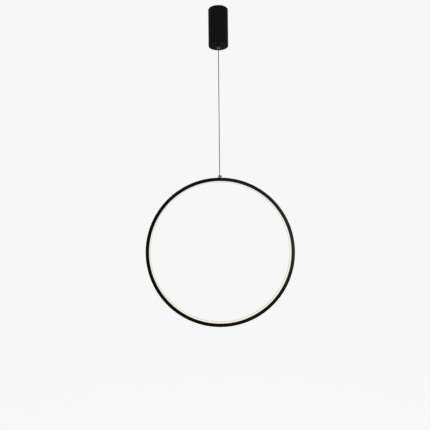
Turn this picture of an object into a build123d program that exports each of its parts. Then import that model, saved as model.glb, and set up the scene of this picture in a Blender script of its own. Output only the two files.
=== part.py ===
from build123d import *
import math
import os

# LED ring pendant: a tall round canopy, one taut cable and a slim ring lit on its inner face.
# Millimetres, +Z up. The origin is the centre of the ceiling plate's top face, on the ceiling.
# The ring's axis runs along Y, its front faces -Y, and +X is to the right.

# ------------------------------------------------------------------ driving dimensions
CANOPY_DIAMETER = 80.0
CANOPY_HEIGHT = 147.0
CANOPY_WALL = 2.0
CANOPY_FLOOR = 3.0
CANOPY_EDGE_BREAK = 0.6

DROP = 535.0  # canopy floor to the top of the ring
CABLE_DIAMETER = 3.0

RING_DIAMETER = 600.0
RING_THICKNESS = 14.0  # radial, the width of the dark face seen from the front
RING_DEPTH = 40.0  # axial
RING_WEB_WALL = 1.8
RING_FLANGE_WALL = 1.5
RING_BED_WALL = 1.5
RING_CHAMBER_HEIGHT = 5.2
RING_SEAM = 0.2  # butt joint of the rolled profile
RING_SEAM_OFFSET = 9.0  # from the ring's top, along the ring, beside the hanging stud

# clearances
PLATE_CLEARANCE = 0.5
SCREW_CLEARANCE = 0.05
HOLE_CLEARANCE = 0.2
RUNNING_CLEARANCE = 0.05
CRIMP_CLEARANCE = 0.02
SEAT_GAP = 0.05
CUT_MARGIN = 1.0  # how far a cut runs past what it cuts

# ceiling plate
PLATE_SHEET = 2.0
PLATE_FLAT_WIDTH = 66.0
PLATE_TAB_WIDTH = 24.0
PLATE_TAB_DROP = 18.0
PLATE_BEND_RADIUS = 0.5
SLOT_SPACING = 50.0
SLOT_WIDTH = 5.0
SLOT_LENGTH = 10.0
MAINS_HOLE_DIAMETER = 14.0
GROMMET_BORE = 9.0
GROMMET_FLANGE = 1.2
GROMMET_LIP_WIDTH = 1.8
SIDE_SCREW_DIAMETER = 4.0
SIDE_SCREW_DEPTH = 9.0
SIDE_SCREW_LENGTH = 8.0
SIDE_SCREW_RECESS = 0.4  # behind the canopy's outer face

# driver and its bracket
DRIVER_WIDTH = 40.0
DRIVER_DEPTH = 22.0
DRIVER_TOP = 20.0  # below the ceiling
DRIVER_FRONT_Y = 5.0
DRIVER_BOSS_INSET = 9.0  # from its front to the boss and the leads
DRIVER_EDGE_ROUND = 2.0
DRIVER_RELIEF_DIAMETER = 6.0
DRIVER_RELIEF_LENGTH = 4.0
BRACKET_SHEET = 1.5
BRACKET_WIDTH = 22.0
BRACKET_FOOT = 17.0
BRACKET_SCREW_SPACING = 12.0
DRIVER_SCREW_MARGIN = 11.0  # from each end of the driver
SMALL_SCREW_DIAMETER = 3.0
SMALL_SCREW_HEAD = 5.5
SMALL_SCREW_HEAD_HEIGHT = 1.8
SMALL_SCREW_LENGTH = 5.0

# terminal block and earth point
POLE_COUNT = 3
POLE_PITCH = 12.0
POLE_WIDTH = 7.0
POLE_LENGTH = 16.0
POLE_HEIGHT = 12.0
POLE_WEB_LENGTH = 7.0
POLE_WEB_HEIGHT = 3.0
POLE_WIRE_WAY = 3.2  # square
POLE_WIRE_DEPTH = 7.0  # its axis, below the ceiling
TERMINAL_SCREW_RECESS = 1.0
POLE_EDGE_BREAK = 1.0
POLE_LEAD_INSET = 5.3  # of a lead's end, into its pole
BLOCK_Y = -18.0
BLOCK_SCREW_HEAD = 3.6
EARTH_X = -22.0
EARTH_Y = -14.0
EARTH_SCREW_DIAMETER = 4.0
EARTH_SCREW_HEAD = 7.0
LUG_DIAMETER = 8.5
LUG_SHEET = 0.8
LUG_BARREL = 3.4
LUG_BARREL_LENGTH = 5.0
LUG_LEAD_INSET = 1.0  # of the lead's end, from the barrel's mouth by the eye
LEAD_DIAMETER = 2.0
LEAD_SIDES = 6
EARTH_LEAD_REACH = 11.0  # back from the lug, before it turns to its pole
EARTH_LEAD_BEND = 4.5
LIVE_EXIT_X = 6.0  # where each lead leaves the driver's top
NEUTRAL_EXIT_X = -2.0
LEAD_STRAIGHT = 8.0  # behind the terminal block
LEAD_RISE_BEND = 5.5
LEAD_CROSS_BEND = 12.0

# cable between the driver and the gripper
CABLE_ROOM = 27.0  # between the driver's case and the gripper's top
CABLE_LOW_RUN = 6.5  # upright above the gripper
CABLE_CROSS_RISE = 9.5
CABLE_BEND = 9.5

# adjustable cable gripper in the canopy's floor
SHANK_DIAMETER = 12.0
SHANK_HEIGHT = 22.0
FLANGE_DIAMETER = 16.0
FLANGE_HEIGHT = 3.0
COLLAR_DIAMETER = 13.0
COLLAR_HEIGHT = 5.0
COLLAR_EDGE_BREAK = 0.8
NOSE_DIAMETER = 6.0
PLUNGER_TRAVEL = 3.0
NOSE_STANDOFF = 1.0  # below the collar when the nose is pressed in
PLUNGER_SHOULDER_DIAMETER = 7.0
PLUNGER_SHOULDER_HEIGHT = 1.0
NOSE_EDGE_BREAK = 0.5
CABLE_PASS_CLEARANCE = 0.2
JAW_COUNT = 3
JAW_HEIGHT = 6.0
JAW_SLIT = 0.8
JAW_CABLE_GAP = 0.1
CONE_LOW_RADIUS = 3.7
CONE_HIGH_RADIUS = 4.5
CONE_HEIGHT = 7.0
CAP_HEIGHT = 4.0
SPRING_WIRE = 0.6
SPRING_DIAMETER = 5.4  # at the wire's middle
SPRING_TURNS = 3
NUT_ACROSS_FLATS = 17.0
NUT_HEIGHT = 5.0

# swivel on top of the ring
BARREL_DIAMETER = 12.0
BARREL_HEIGHT = 11.2
BARREL_ROOF = 2.0
BARREL_CHAMBER_DIAMETER = 6.1
BARREL_EDGE_BREAK = 0.6
FERRULE_LENGTH = 5.0
STUD_DIAMETER = 8.0
STUD_BORE = 4.0
STUD_RISE = 3.0  # into the barrel
HANGER_WASHER_HEIGHT = 0.8
LOCK_SCREW_DIAMETER = 3.0
LOCK_SCREW_HEAD = 5.0
LOCK_SCREW_HEAD_LENGTH = 3.0
LOCK_SCREW_GAP = 0.3  # to the ferrule, until it is tightened

# joint of the rolled profile
JOINER_WIDTH = 24.0
JOINER_ARC = 82.0
JOINER_PLAY = 0.3
JOINER_SCREW_DIAMETER = 4.0
JOINER_SCREW_OFFSETS = (-26.0, 26.0)  # along the ring, from its top
JOINER_ACCESS_DIAMETER = 4.4
LEAD_HOLE_DIAMETER = 6.0

# light source
STRIP_WIDTH = 10.0
STRIP_THICKNESS = 0.3
STRIP_START = 11.0  # along the ring, each side of its top
CHIP_COUNT = 72
CHIP_LENGTH = 3.5
CHIP_WIDTH = 2.8
CHIP_HEIGHT = 0.7
CHIP_END_MARGIN = 8.0
RING_LEAD_DIAMETER = 1.0
RING_LEAD_SPACING = 1.8
RING_LEAD_REACH = 14.0
RING_LEAD_BEND = 2.5
RING_LEAD_GAP = 0.15  # below the ferrule

# opal diffuser
DIFFUSER_RECESS = 0.4
DIFFUSER_WALL = 1.6
DIFFUSER_LEG = 1.2
DIFFUSER_SIDE_PLAY = 0.1
DIFFUSER_BED_PLAY = 0.3

# ------------------------------------------------------------------ levels and radii worked out
CANOPY_RADIUS = CANOPY_DIAMETER / 2
CANOPY_INNER_RADIUS = CANOPY_RADIUS - CANOPY_WALL
CANOPY_BOTTOM = -CANOPY_HEIGHT
CANOPY_FLOOR_TOP = CANOPY_BOTTOM + CANOPY_FLOOR
CABLE_RADIUS = CABLE_DIAMETER / 2

PLATE_RADIUS = CANOPY_INNER_RADIUS - PLATE_CLEARANCE
PLATE_TAB_REACH = math.sqrt(PLATE_RADIUS**2 - (PLATE_TAB_WIDTH / 2) ** 2)

SHANK_TOP = CANOPY_BOTTOM + SHANK_HEIGHT
COLLAR_BOTTOM = CANOPY_BOTTOM - FLANGE_HEIGHT - COLLAR_HEIGHT
NOSE_BOTTOM = COLLAR_BOTTOM - PLUNGER_TRAVEL - NOSE_STANDOFF
CAP_BOTTOM = SHANK_TOP - CAP_HEIGHT
CONE_BOTTOM = CANOPY_BOTTOM - FLANGE_HEIGHT + PLUNGER_SHOULDER_HEIGHT
JAW_BOTTOM = CONE_BOTTOM + SEAT_GAP
JAW_TOP = JAW_BOTTOM + JAW_HEIGHT

RING_RADIUS = RING_DIAMETER / 2
RING_TOP = CANOPY_BOTTOM - DROP
RING_CENTRE = RING_TOP - RING_RADIUS
LIP_RADIUS = RING_RADIUS - RING_THICKNESS
CHAMBER_OUTER_RADIUS = RING_RADIUS - RING_WEB_WALL
CHAMBER_INNER_RADIUS = CHAMBER_OUTER_RADIUS - RING_CHAMBER_HEIGHT
BED_RADIUS = CHAMBER_INNER_RADIUS - RING_BED_WALL
HALF_DEPTH = RING_DEPTH / 2
HALF_INSIDE = HALF_DEPTH - RING_FLANGE_WALL
STRIP_OUTER_RADIUS = BED_RADIUS - SEAT_GAP
STRIP_INNER_RADIUS = STRIP_OUTER_RADIUS - STRIP_THICKNESS
DIFFUSER_FACE_RADIUS = LIP_RADIUS + DIFFUSER_RECESS
DIFFUSER_BACK_RADIUS = DIFFUSER_FACE_RADIUS + DIFFUSER_WALL
DIFFUSER_LEG_RADIUS = BED_RADIUS - DIFFUSER_BED_PLAY

BARREL_BOTTOM = RING_TOP + HANGER_WASHER_HEIGHT
BARREL_TOP = BARREL_BOTTOM + BARREL_HEIGHT
CHAMBER_TOP = BARREL_TOP - BARREL_ROOF
FERRULE_TOP = CHAMBER_TOP - SEAT_GAP
FERRULE_BOTTOM = FERRULE_TOP - FERRULE_LENGTH
STUD_TOP = BARREL_BOTTOM + STUD_RISE
JOINER_INNER_RADIUS = CHAMBER_INNER_RADIUS + JOINER_PLAY
JOINER_OUTER_RADIUS = CHAMBER_OUTER_RADIUS - JOINER_PLAY
STUD_BOTTOM = RING_CENTRE + JOINER_INNER_RADIUS
FERRULE_RADIUS = BARREL_CHAMBER_DIAMETER / 2 - RUNNING_CLEARANCE
LOCK_SCREW_LEVEL = (FERRULE_TOP + FERRULE_BOTTOM) / 2

SMALL_SCREW_RADIUS = SMALL_SCREW_DIAMETER / 2
DRIVER_BACK_Y = DRIVER_FRONT_Y + DRIVER_DEPTH
DRIVER_BOSS_Y = DRIVER_FRONT_Y + DRIVER_BOSS_INSET
DRIVER_BOTTOM = SHANK_TOP + CABLE_ROOM
BLOCK_BACK_Y = BLOCK_Y + POLE_LENGTH / 2
LEAD_END_Y = BLOCK_BACK_Y - POLE_LEAD_INSET

# The ring is drawn flat, with its axis up and its top along the local X, and then stood up:
# local Z is the front (-Y), and a positive angle from the top goes to the left (-X).
RING_PLANE = Plane(origin=(0, 0, RING_CENTRE), x_dir=(0, 0, 1), z_dir=(0, -1, 0))

NODES = {}


# ------------------------------------------------------------------ helpers
def upright(radius, low, high, x=0.0, y=0.0):
    """A vertical cylinder between two levels."""
    return Pos(x, y, (low + high) / 2) * Cylinder(radius, high - low)


def lengthwise(radius, start, end, x, z):
    """A cylinder along Y."""
    return Pos(x, (start + end) / 2, z) * Rot(90, 0, 0) * Cylinder(radius, abs(end - start))


def sideways(radius, start, end, y, z):
    """A cylinder along X."""
    return Pos((start + end) / 2, y, z) * Rot(0, 90, 0) * Cylinder(radius, abs(end - start))


def block(x_range, y_range, z_range):
    """A box from its lowest to its highest corner."""
    sizes = [high - low for low, high in (x_range, y_range, z_range)]
    middle = [(high + low) / 2 for low, high in (x_range, y_range, z_range)]
    return Pos(*middle) * Box(*sizes)


def turned(points):
    """A solid turned about Z from (radius, level) points."""
    outline = Polyline(*[(radius, 0, level) for radius, level in points], close=True)
    return revolve(make_face(outline), Axis.Z)


def lead(points, radius, bends):
    """A lead or cable with a faceted round section, along runs joined by tangent arcs."""
    path = FilletPolyline(*points, radius=bends)
    outline = RegularPolygon(radius, LEAD_SIDES)
    section = Plane(origin=path @ 0, z_dir=path % 0) * outline
    tube = sweep(section, path=path)
    drift = tube.volume / (outline.area * path.length) - 1
    print(f"lead: {path.length:.1f} mm long, bends {bends}, volume off by {drift:.1e}")
    return tube


def hex_screw(length, radius=SMALL_SCREW_RADIUS, head=SMALL_SCREW_HEAD):
    """A hexagon-head screw standing on the origin: head below Z=0, shank up to length."""
    top = extrude(RegularPolygon(head / 2, 6, major_radius=False), -SMALL_SCREW_HEAD_HEIGHT)
    return upright(radius, 0, length) + top


def grub_screw(diameter, length):
    """A headless screw on the origin: its hex socket at Z=0, its tip at +Z."""
    key = extrude(RegularPolygon(diameter / 4, 6, major_radius=False), diameter / 2)
    return upright(diameter / 2, 0, length) - key


def group(solids):
    """Separate solids that share one node."""
    return Compound(children=[part for solid in solids for part in solid.solids()])


def ring_sector(section, start_angle, sweep_angle):
    """A section face turned about the ring's axis, angles from the ring's top."""
    turned_part = revolve(section, Axis.Z, revolution_arc=sweep_angle)
    return RING_PLANE * Rot(0, 0, start_angle) * turned_part


def open_ring(section):
    """A section face turned all the way round, but for the narrow butt joint near the top."""
    seam = arc_degrees(RING_SEAM, RING_RADIUS)
    start = arc_degrees(RING_SEAM_OFFSET, RING_RADIUS) + seam / 2
    return ring_sector(section, start, 360 - seam)


def ring_section(points):
    """A face in the ring's section plane, from (radius, depth) points."""
    return make_face(Polyline(*[(radius, 0, depth) for radius, depth in points], close=True))


def arc_degrees(length, radius=BED_RADIUS):
    """The angle that a length along the ring takes."""
    return math.degrees(length / radius)


# ------------------------------------------------------------------ ceiling plate and canopy
def make_ceiling_plate():
    """Round steel plate with two bent tabs, two ceiling slots, the mains hole and screw holes."""
    disc = upright(PLATE_RADIUS, -PLATE_SHEET, 0)
    flat_part = disc & block(
        (-PLATE_FLAT_WIDTH / 2, PLATE_FLAT_WIDTH / 2),
        (-PLATE_RADIUS, PLATE_RADIUS),
        (-PLATE_SHEET, 0),
    )
    outer = Pos(0, -PLATE_TAB_DROP / 2) * Rectangle(2 * PLATE_TAB_REACH, PLATE_TAB_DROP)
    bend_outer = PLATE_BEND_RADIUS + PLATE_SHEET
    outer = fillet(outer.vertices().group_by(Axis.Y)[-1], bend_outer)
    inner_drop = PLATE_TAB_DROP - PLATE_SHEET
    inner = Pos(0, -PLATE_SHEET - inner_drop / 2) * Rectangle(
        2 * (PLATE_TAB_REACH - PLATE_SHEET), inner_drop
    )
    inner = fillet(inner.vertices().group_by(Axis.Y)[-1], PLATE_BEND_RADIUS)
    strip = extrude(Plane.XZ * (outer - inner), PLATE_TAB_WIDTH / 2, both=True)
    plate = flat_part + strip
    plate -= upright(MAINS_HOLE_DIAMETER / 2, -PLATE_SHEET, 0)
    for side in (-1, 1):
        slot = extrude(SlotOverall(SLOT_LENGTH, SLOT_WIDTH), -PLATE_SHEET)
        plate -= Pos(side * SLOT_SPACING / 2, 0, 0) * slot
        plate -= sideways(
            SIDE_SCREW_DIAMETER / 2,
            side * (PLATE_TAB_REACH - PLATE_SHEET),
            side * PLATE_TAB_REACH,
            0,
            -SIDE_SCREW_DEPTH,
        )
        plate -= upright(
            SMALL_SCREW_RADIUS, -PLATE_SHEET, 0, side * BRACKET_SCREW_SPACING / 2, bracket_screw_y()
        )
    plate -= upright(EARTH_SCREW_DIAMETER / 2, -PLATE_SHEET, 0, EARTH_X, EARTH_Y)
    plate -= upright(SMALL_SCREW_RADIUS, -PLATE_SHEET, 0, block_screw_x(), BLOCK_Y)
    return plate


def make_cable_grommet():
    """Rubber ring that grips the edge of the mains hole."""
    groove = MAINS_HOLE_DIAMETER / 2 - SEAT_GAP
    lip = MAINS_HOLE_DIAMETER / 2 + GROMMET_LIP_WIDTH
    bottom = -PLATE_SHEET - SEAT_GAP
    bore = GROMMET_BORE / 2
    return turned(
        [
            (bore, 0),
            (groove, 0),
            (groove, bottom),
            (lip, bottom),
            (lip, bottom - GROMMET_FLANGE),
            (bore, bottom - GROMMET_FLANGE),
        ]
    )


def make_canopy_shell():
    """Deep round cup: plain wall, closed floor, one cable hole and two side screw holes."""
    shell = upright(CANOPY_RADIUS, CANOPY_BOTTOM, 0)
    lowest = shell.edges().filter_by(GeomType.CIRCLE).sort_by(Axis.Z)[0]
    shell = chamfer(lowest, CANOPY_EDGE_BREAK)
    shell -= upright(CANOPY_INNER_RADIUS, CANOPY_FLOOR_TOP, 0)
    hole = SHANK_DIAMETER / 2 + HOLE_CLEARANCE
    shell -= upright(hole, CANOPY_BOTTOM, CANOPY_FLOOR_TOP)
    screw_hole = SIDE_SCREW_DIAMETER / 2 + HOLE_CLEARANCE
    shell -= sideways(screw_hole, -CANOPY_RADIUS, CANOPY_RADIUS, 0, -SIDE_SCREW_DEPTH)
    return shell


def make_side_screws():
    """Two grub screws, flush with the canopy's wall, threaded into the plate's tabs."""
    screws = []
    flush = CANOPY_RADIUS - SIDE_SCREW_RECESS
    for side in (-1, 1):
        screw = grub_screw(SIDE_SCREW_DIAMETER - 2 * SCREW_CLEARANCE, SIDE_SCREW_LENGTH)
        place = Pos(side * flush, 0, -SIDE_SCREW_DEPTH) * Rot(0, -90 * side, 0)
        screws.append(place * screw)
    return group(screws)


# ------------------------------------------------------------------ driver and wiring
def bracket_screw_y():
    """Where the bracket's foot is screwed to the plate."""
    return DRIVER_BACK_Y + BRACKET_SHEET - BRACKET_FOOT / 2 - BRACKET_SHEET


def driver_screw_levels():
    """Levels of the two screws that hold the driver to its bracket."""
    return (DRIVER_BOTTOM + DRIVER_SCREW_MARGIN, -DRIVER_TOP - DRIVER_SCREW_MARGIN)


def make_driver_bracket():
    """Bent steel strip: a foot under the plate and a long leg behind the driver."""
    half = BRACKET_WIDTH / 2
    back = DRIVER_BACK_Y + BRACKET_SHEET
    foot = block((-half, half), (back - BRACKET_FOOT, back), (-PLATE_SHEET - BRACKET_SHEET, -PLATE_SHEET))
    leg = block((-half, half), (DRIVER_BACK_Y, back), (DRIVER_BOTTOM, -PLATE_SHEET))
    bracket = foot + leg
    corner = bracket.edges().filter_by(Axis.X).sort_by(lambda e: e.center().Y + e.center().Z)[-1]
    bracket = fillet(corner, BRACKET_SHEET)
    for side in (-1, 1):
        bracket -= upright(
            SMALL_SCREW_RADIUS + HOLE_CLEARANCE,
            -PLATE_SHEET - BRACKET_SHEET,
            -PLATE_SHEET,
            side * BRACKET_SCREW_SPACING / 2,
            bracket_screw_y(),
        )
    for level in driver_screw_levels():
        bracket -= lengthwise(SMALL_SCREW_RADIUS + HOLE_CLEARANCE, DRIVER_BACK_Y, back, 0, level)
    return bracket


def make_bracket_screws():
    """Two screws up through the bracket's foot into the plate."""
    screw = hex_screw(BRACKET_SHEET + PLATE_SHEET, SMALL_SCREW_RADIUS - SCREW_CLEARANCE)
    seat = -PLATE_SHEET - BRACKET_SHEET
    half = BRACKET_SCREW_SPACING / 2
    return group([Pos(side * half, bracket_screw_y(), seat) * screw for side in (-1, 1)])


def make_led_driver():
    """Moulded driver case with screw holes behind and a cable boss below."""
    half = DRIVER_WIDTH / 2
    case = block((-half, half), (DRIVER_FRONT_Y, DRIVER_BACK_Y), (DRIVER_BOTTOM, -DRIVER_TOP))
    case = fillet(case.edges().filter_by(Axis.Z), DRIVER_EDGE_ROUND)
    case += upright(
        DRIVER_RELIEF_DIAMETER / 2,
        DRIVER_BOTTOM - DRIVER_RELIEF_LENGTH,
        DRIVER_BOTTOM,
        0,
        DRIVER_BOSS_Y,
    )
    for level in driver_screw_levels():
        case -= lengthwise(
            SMALL_SCREW_RADIUS, DRIVER_BACK_Y - SMALL_SCREW_LENGTH, DRIVER_BACK_Y, 0, level
        )
    return case


def make_driver_screws():
    """Two screws through the bracket's leg into the driver's back."""
    screw = hex_screw(SMALL_SCREW_LENGTH, SMALL_SCREW_RADIUS - SCREW_CLEARANCE)
    seat = DRIVER_BACK_Y + BRACKET_SHEET
    return group([Pos(0, seat, level) * Rot(90, 0, 0) * screw for level in driver_screw_levels()])


def pole_centres():
    """X of each pole of the terminal block."""
    first = -(POLE_COUNT - 1) / 2 * POLE_PITCH
    return [first + index * POLE_PITCH for index in range(POLE_COUNT)]


def block_screw_x():
    """X of the web between the last two poles, where the block is screwed down."""
    return sum(pole_centres()[-2:]) / 2


def make_terminal_block():
    """Three moulded poles joined by webs, each with a square wire way and a screw well."""
    top = -PLATE_SHEET
    half_length = POLE_LENGTH / 2
    body = None
    for centre in pole_centres():
        pole = block(
            (centre - POLE_WIDTH / 2, centre + POLE_WIDTH / 2),
            (BLOCK_Y - half_length, BLOCK_Y + half_length),
            (top - POLE_HEIGHT, top),
        )
        pole = chamfer(pole.edges().filter_by(Axis.Y).group_by(Axis.Z)[0], POLE_EDGE_BREAK)
        body = pole if body is None else body + pole
    ends = pole_centres()
    body += block(
        (ends[0], ends[-1]),
        (BLOCK_Y - POLE_WEB_LENGTH / 2, BLOCK_Y + POLE_WEB_LENGTH / 2),
        (top - POLE_WEB_HEIGHT, top),
    )
    for centre in pole_centres():
        body -= block(
            (centre - POLE_WIRE_WAY / 2, centre + POLE_WIRE_WAY / 2),
            (BLOCK_Y - half_length, BLOCK_Y + half_length),
            (-POLE_WIRE_DEPTH - POLE_WIRE_WAY / 2, -POLE_WIRE_DEPTH + POLE_WIRE_WAY / 2),
        )
        well = SMALL_SCREW_RADIUS + HOLE_CLEARANCE
        body -= upright(well, top - POLE_HEIGHT, -POLE_WIRE_DEPTH, centre, BLOCK_Y)
    hole = SMALL_SCREW_RADIUS + HOLE_CLEARANCE
    body -= upright(hole, top - POLE_WEB_HEIGHT, top, block_screw_x(), BLOCK_Y)
    return body


def make_terminal_screws():
    """Brass clamping screws, one in each pole, reached from below."""
    low = -PLATE_SHEET - POLE_HEIGHT + TERMINAL_SCREW_RECESS
    high = -POLE_WIRE_DEPTH - LEAD_DIAMETER / 2 - SEAT_GAP
    return group([upright(SMALL_SCREW_RADIUS, low, high, x, BLOCK_Y) for x in pole_centres()])


def make_block_screw():
    """The screw that holds the terminal block under the plate, through one of its webs."""
    radius = SMALL_SCREW_RADIUS - SCREW_CLEARANCE
    screw = hex_screw(POLE_WEB_HEIGHT + PLATE_SHEET, radius, BLOCK_SCREW_HEAD)
    return Pos(block_screw_x(), BLOCK_Y, -PLATE_SHEET - POLE_WEB_HEIGHT) * screw


def make_earth_lug():
    """Ring lug under the plate, its barrel pointing back."""
    top = -PLATE_SHEET
    eye = upright(LUG_DIAMETER / 2, top - LUG_SHEET, top, EARTH_X, EARTH_Y)
    start = EARTH_Y + LUG_DIAMETER / 2
    half = LUG_BARREL / 2
    across = (EARTH_X - half, EARTH_X + half)
    tongue = block(across, (EARTH_Y, start), (top - LUG_SHEET, top))
    barrel = block(across, (start, start + LUG_BARREL_LENGTH), (top - LUG_BARREL, top))
    way = LEAD_DIAMETER / 2 + SCREW_CLEARANCE
    barrel -= block(
        (EARTH_X - way, EARTH_X + way),
        (start, start + LUG_BARREL_LENGTH),
        (top - half - way, top - half + way),
    )
    hole = upright(EARTH_SCREW_DIAMETER / 2 + HOLE_CLEARANCE, top - LUG_SHEET, top, EARTH_X, EARTH_Y)
    return eye + tongue + barrel - hole


def make_earth_screw():
    """Screw of the earth point, up into the plate."""
    radius = EARTH_SCREW_DIAMETER / 2 - SCREW_CLEARANCE
    screw = hex_screw(LUG_SHEET + PLATE_SHEET, radius, EARTH_SCREW_HEAD)
    return Pos(EARTH_X, EARTH_Y, -PLATE_SHEET - LUG_SHEET) * screw


def make_earth_lead():
    """Lead from the lug's barrel round into the back of the first pole."""
    start_y = EARTH_Y + LUG_DIAMETER / 2 + LUG_LEAD_INSET
    turn_y = start_y + EARTH_LEAD_REACH
    low = -PLATE_SHEET - LUG_BARREL / 2
    pole_x = pole_centres()[0]
    points = [
        (EARTH_X, start_y, low),
        (EARTH_X, turn_y, low),
        (pole_x, turn_y, -POLE_WIRE_DEPTH),
        (pole_x, LEAD_END_Y, -POLE_WIRE_DEPTH),
    ]
    return lead(points, LEAD_DIAMETER / 2, [EARTH_LEAD_BEND, EARTH_LEAD_BEND])


def make_driver_lead(pole_index, driver_x):
    """Lead from the driver's top face up and forward into the back of a pole."""
    pole_x = pole_centres()[pole_index]
    points = [
        (driver_x, DRIVER_BOSS_Y, -DRIVER_TOP),
        (driver_x, DRIVER_BOSS_Y, -POLE_WIRE_DEPTH),
        (pole_x, BLOCK_BACK_Y + LEAD_STRAIGHT, -POLE_WIRE_DEPTH),
        (pole_x, LEAD_END_Y, -POLE_WIRE_DEPTH),
    ]
    return lead(points, LEAD_DIAMETER / 2, [LEAD_RISE_BEND, LEAD_CROSS_BEND])


def make_inner_cable():
    """Cable from the driver's boss, over an easy double bend, down through the gripper."""
    start = DRIVER_BOTTOM - DRIVER_RELIEF_LENGTH
    low_bend = SHANK_TOP + CABLE_LOW_RUN
    points = [
        (0, DRIVER_BOSS_Y, start),
        (0, DRIVER_BOSS_Y, low_bend + CABLE_CROSS_RISE),
        (0, 0, low_bend),
        (0, 0, NOSE_BOTTOM),
    ]
    return lead(points, CABLE_RADIUS, [CABLE_BEND, CABLE_BEND])


# ------------------------------------------------------------------ cable gripper
def make_gripper_body():
    """Threaded shank, flange and collar, bored for the plunger, the jaws, spring and cap."""
    guide = NOSE_DIAMETER / 2 + RUNNING_CLEARANCE
    flange_bottom = CANOPY_BOTTOM - FLANGE_HEIGHT
    collar = COLLAR_DIAMETER / 2
    return turned(
        [
            (guide, COLLAR_BOTTOM),
            (collar - COLLAR_EDGE_BREAK, COLLAR_BOTTOM),
            (collar, COLLAR_BOTTOM + COLLAR_EDGE_BREAK),
            (collar, flange_bottom),
            (FLANGE_DIAMETER / 2, flange_bottom),
            (FLANGE_DIAMETER / 2, CANOPY_BOTTOM),
            (SHANK_DIAMETER / 2, CANOPY_BOTTOM),
            (SHANK_DIAMETER / 2, SHANK_TOP),
            (CONE_HIGH_RADIUS, SHANK_TOP),
            (CONE_HIGH_RADIUS, CONE_BOTTOM + CONE_HEIGHT),
            (CONE_LOW_RADIUS, CONE_BOTTOM),
            (CONE_LOW_RADIUS, flange_bottom),
            (guide, flange_bottom),
        ]
    )


def make_gripper_cap():
    """Plug screwed into the shank's top over the spring."""
    radius = CONE_HIGH_RADIUS - SCREW_CLEARANCE
    hole = upright(CABLE_RADIUS + CABLE_PASS_CLEARANCE, CAP_BOTTOM, SHANK_TOP)
    return upright(radius, CAP_BOTTOM, SHANK_TOP) - hole


def make_gripper_nut():
    """Hexagon nut that clamps the gripper in the canopy's floor."""
    blank = extrude(RegularPolygon(NUT_ACROSS_FLATS / 2, 6, major_radius=False), NUT_HEIGHT)
    top = CANOPY_FLOOR_TOP + NUT_HEIGHT
    bore = upright(SHANK_DIAMETER / 2 + SCREW_CLEARANCE, CANOPY_FLOOR_TOP, top)
    return Pos(0, 0, CANOPY_FLOOR_TOP) * blank - bore


def make_release_plunger():
    """Nose with a retaining shoulder that lifts the jaws when the nose is pressed up."""
    bore = CABLE_RADIUS + CABLE_PASS_CLEARANCE
    nose = NOSE_DIAMETER / 2
    shoulder = PLUNGER_SHOULDER_DIAMETER / 2
    seat = CANOPY_BOTTOM - FLANGE_HEIGHT + SEAT_GAP
    return turned(
        [
            (bore, NOSE_BOTTOM),
            (nose - NOSE_EDGE_BREAK, NOSE_BOTTOM),
            (nose, NOSE_BOTTOM + NOSE_EDGE_BREAK),
            (nose, seat),
            (shoulder, seat),
            (shoulder, JAW_BOTTOM - SEAT_GAP),
            (bore, JAW_BOTTOM - SEAT_GAP),
        ]
    )


def make_gripper_jaws():
    """Three wedge jaws, split from one cone, between the body's cone and the cable."""
    slope = (CONE_HIGH_RADIUS - CONE_LOW_RADIUS) / CONE_HEIGHT
    low_radius = CONE_LOW_RADIUS + slope * (JAW_BOTTOM - CONE_BOTTOM) - RUNNING_CLEARANCE
    inner = CABLE_RADIUS + JAW_CABLE_GAP
    ring = turned(
        [
            (inner, JAW_BOTTOM),
            (low_radius, JAW_BOTTOM),
            (low_radius + slope * JAW_HEIGHT, JAW_TOP),
            (inner, JAW_TOP),
        ]
    )
    for index in range(JAW_COUNT):
        reach = CONE_HIGH_RADIUS + CUT_MARGIN
        slit = block((0, reach), (-JAW_SLIT / 2, JAW_SLIT / 2), (JAW_BOTTOM, JAW_TOP))
        ring -= Rot(0, 0, index * 360 / JAW_COUNT) * slit
    return group([ring])


def make_gripper_spring():
    """Helical spring of square wire between the jaws and the cap."""
    low = JAW_TOP + SPRING_WIRE / 2 + SEAT_GAP
    high = CAP_BOTTOM - SPRING_WIRE / 2 - SEAT_GAP
    pitch = (high - low) / SPRING_TURNS
    coil = Helix(pitch=pitch, height=high - low, radius=SPRING_DIAMETER / 2)
    start = Plane(origin=coil @ 0, x_dir=(1, 0, 0), z_dir=coil % 0)
    spring = sweep(start * Rectangle(SPRING_WIRE, SPRING_WIRE), path=coil, is_frenet=True)
    print(f"spring: least gap between its turns {pitch - SPRING_WIRE:.2f} mm")
    return Pos(0, 0, low) * spring


# ------------------------------------------------------------------ cable and swivel
def make_suspension_cable():
    """The taut cable, from the gripper's nose into the ferrule."""
    return upright(CABLE_RADIUS, FERRULE_BOTTOM, NOSE_BOTTOM)


def make_cable_ferrule():
    """Ferrule crimped on the cable's end; it bears on the barrel's roof and turns there."""
    bore = upright(CABLE_RADIUS + CRIMP_CLEARANCE, FERRULE_BOTTOM, FERRULE_TOP)
    return upright(FERRULE_RADIUS, FERRULE_BOTTOM, FERRULE_TOP) - bore


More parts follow.
